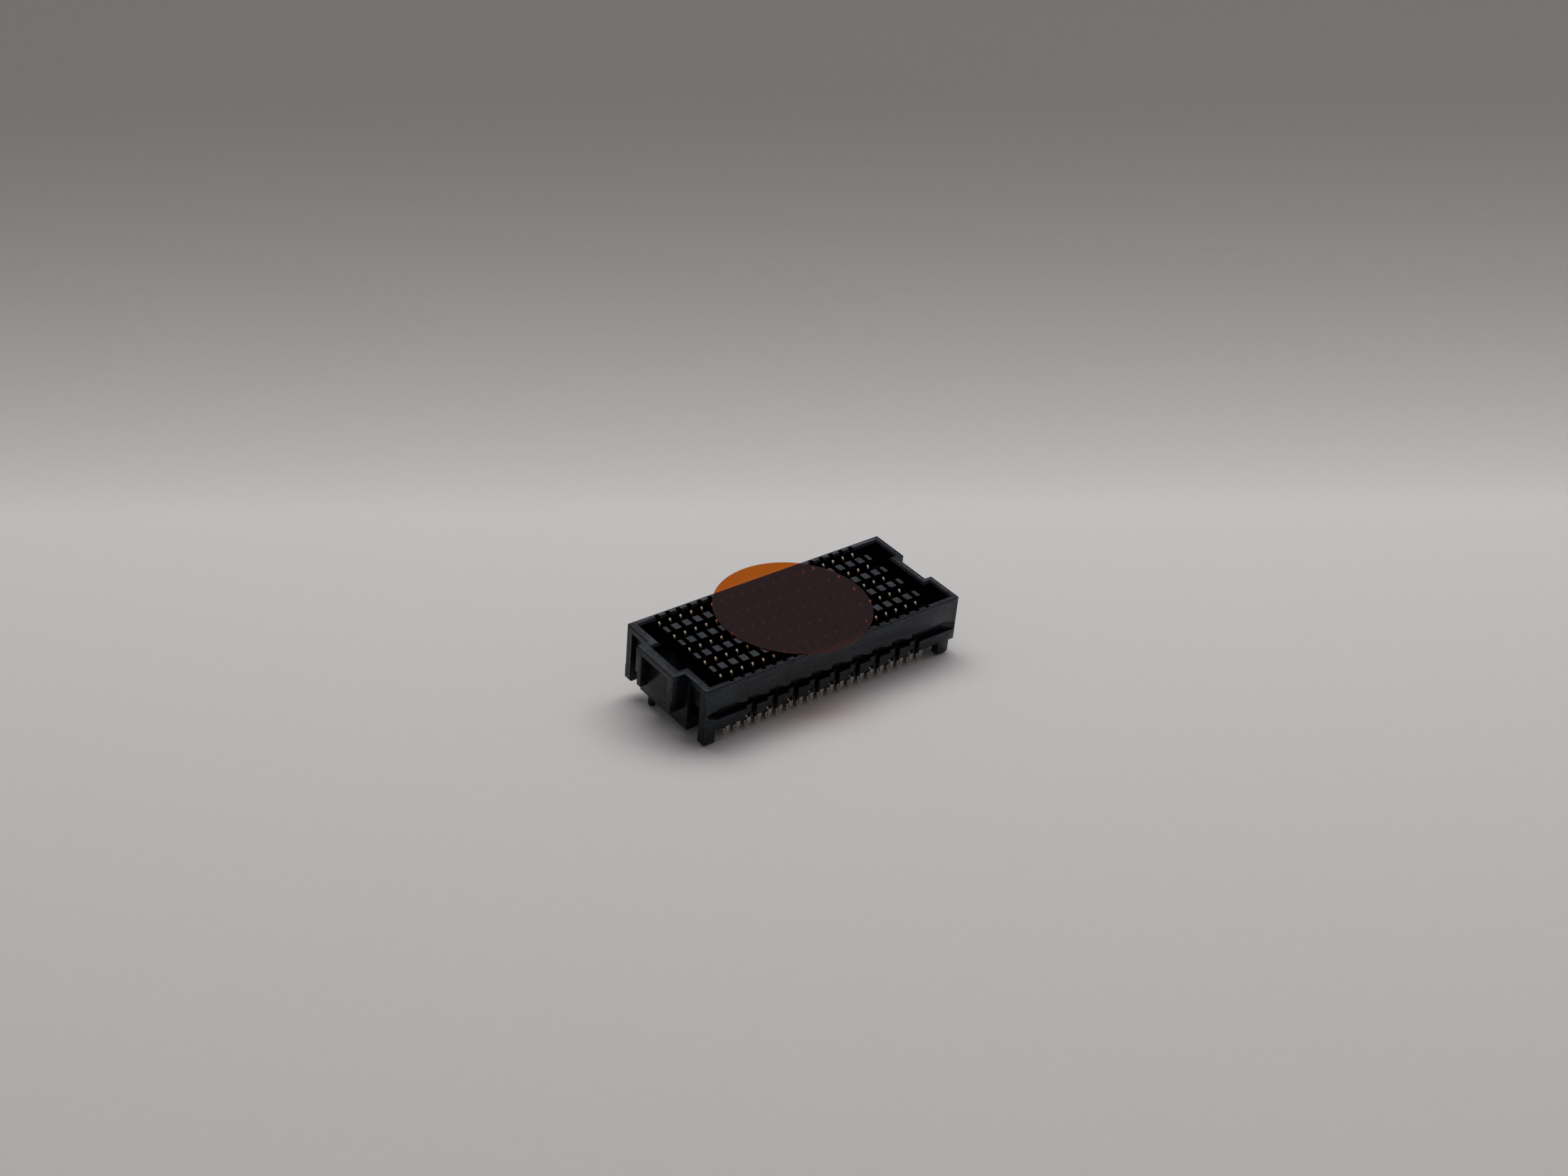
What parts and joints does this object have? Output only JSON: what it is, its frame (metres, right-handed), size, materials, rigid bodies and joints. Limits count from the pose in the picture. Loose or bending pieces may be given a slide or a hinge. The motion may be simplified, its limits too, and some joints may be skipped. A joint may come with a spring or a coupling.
{
  "type": "high density array connector",
  "caption": "Board to board array connector: keyed black moulded housing with comb ribs, rows of spring contacts, soldered tails, alignment pins and a round amber pick and place film.",
  "frame": {"origin": "middle of the contact array, on the board plane that the four corner feet stand on", "axes": "+X along the contact rows towards the notched end, +Y towards the long wall on the alignment pins' side, +Z out of the mating side"},
  "size_m": [0.0326, 0.016, 0.0079],
  "materials": {
    "housing_plastic": "moulded black, satin",
    "contact_metal": "stamped copper alloy, gold on the tips and tin on the tails",
    "solder_metal": "dull tin solder",
    "film_amber": "thin see-through amber film"
  },
  "bodies": {
    "root": {"housing": "housing_plastic", "contact_row_01": "contact_metal", "contact_row_02": "contact_metal", "contact_row_03": "contact_metal", "contact_row_04": "contact_metal", "contact_row_05": "contact_metal", "contact_row_06": "contact_metal", "contact_row_07": "contact_metal", "contact_row_08": "contact_metal", "contact_row_09": "contact_metal", "contact_row_10": "contact_metal", "solder_row_01": "solder_metal", "solder_row_02": "solder_metal", "solder_row_03": "solder_metal", "solder_row_04": "solder_metal", "solder_row_05": "solder_metal", "solder_row_06": "solder_metal", "solder_row_07": "solder_metal", "solder_row_08": "solder_metal", "solder_row_09": "solder_metal", "solder_row_10": "solder_metal", "pick_and_place_film": "film_amber"}
  },
  "joints": []
}
